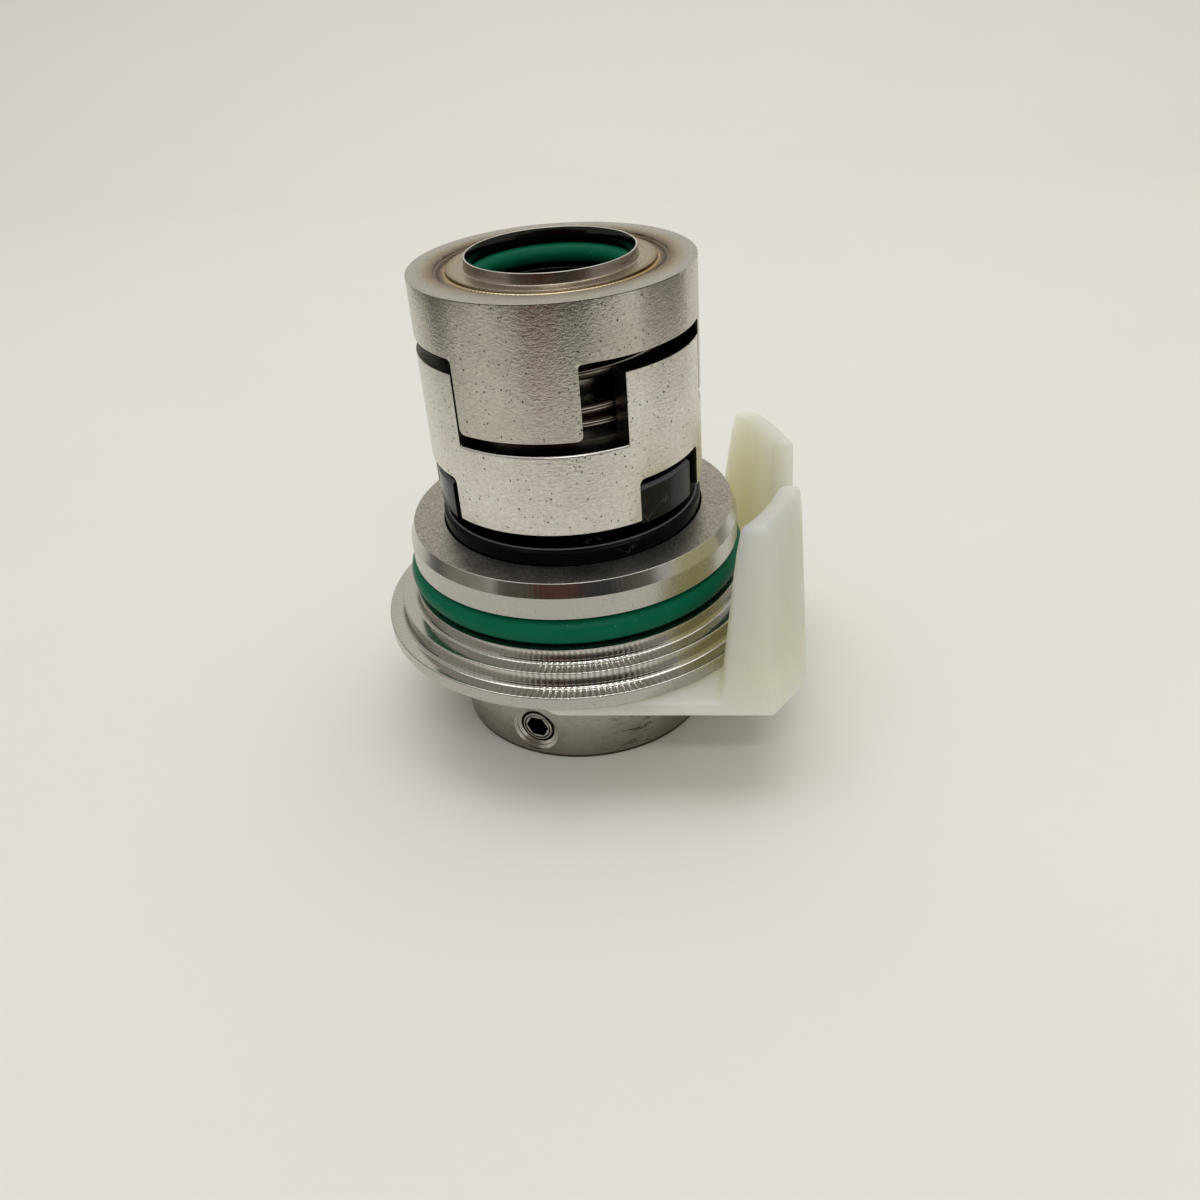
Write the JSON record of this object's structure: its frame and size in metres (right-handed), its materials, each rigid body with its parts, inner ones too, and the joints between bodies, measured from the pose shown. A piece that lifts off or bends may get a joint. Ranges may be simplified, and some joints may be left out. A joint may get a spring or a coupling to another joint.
{
  "type": "cartridge mechanical seal",
  "caption": "Cartridge mechanical seal on its set-screw collar, with castellated spring housing and carrier, black seal rings, stepped flanged cover with green O-ring, and plastic clip.",
  "frame": {"origin": "shaft axis at the foot of the drive collar, on the surface that the seal stands on", "axes": "+Z along the shaft axis towards the spring housing; +X the way the mounting clip pulls out"},
  "size_m": [0.0688, 0.0644, 0.0769],
  "materials": {
    "turned_steel": "turned",
    "tumbled_steel": "fine matt, lightly pitted",
    "spring_steel": "drawn wire",
    "screw_steel": "satin",
    "weld_tint": "heat tinted",
    "green_rubber": "satin",
    "silicon_carbide": "satin black",
    "clip_nylon": "translucent natural"
  },
  "bodies": {
    "rotor": {"shaft_sleeve": "turned_steel", "spring_housing": "tumbled_steel", "weld_seam": "weld_tint", "shaft_o_ring": "green_rubber", "drive_collar": "turned_steel"},
    "floating_face": {"face_carrier": "tumbled_steel", "rotating_seal_ring": "silicon_carbide", "ring_o_ring": "green_rubber", "thrust_washer": "turned_steel", "coil_spring": "spring_steel"},
    "stationary_cover": {"seal_cover": "turned_steel", "cover_o_ring": "green_rubber", "stationary_seat": "silicon_carbide", "seat_o_ring": "green_rubber", "seat_pin_1": "turned_steel", "seat_pin_2": "turned_steel"},
    "clip": {"mounting_clip": "clip_nylon"},
    "set_screw_1": {"set_screw_1": "screw_steel"},
    "set_screw_2": {"set_screw_2": "screw_steel"},
    "set_screw_3": {"set_screw_3": "screw_steel"}
  },
  "joints": [
    {"name": "face_float", "type": "slide", "parent": "rotor", "child": "floating_face", "axis": [0, 0, 1], "range_m": [0, 0.00185], "stiffness_N_per_m": 6000, "springref_m": -0.003, "deforming": ["coil_spring"]},
    {"name": "cover_spin", "type": "hinge", "parent": "floating_face", "child": "stationary_cover", "pos_m": [0, 0, 0.0388], "axis": [0, 0, 1], "continuous": true},
    {"name": "clip_pull", "type": "slide", "parent": "rotor", "child": "clip", "axis": [1, 0, 0], "range_m": [0, 0.05]},
    {"name": "set_screw_1_travel", "type": "slide", "parent": "rotor", "child": "set_screw_1", "axis": [-0.3123, -0.95, 0], "range_m": [-0.0002, 0.0025]},
    {"name": "set_screw_2_travel", "type": "slide", "parent": "rotor", "child": "set_screw_2", "axis": [0.9789, 0.2045, 0], "range_m": [-0.0002, 0.0025]},
    {"name": "set_screw_3_travel", "type": "slide", "parent": "rotor", "child": "set_screw_3", "axis": [-0.6665, 0.7455, 0], "range_m": [-0.0002, 0.0025]}
  ]
}
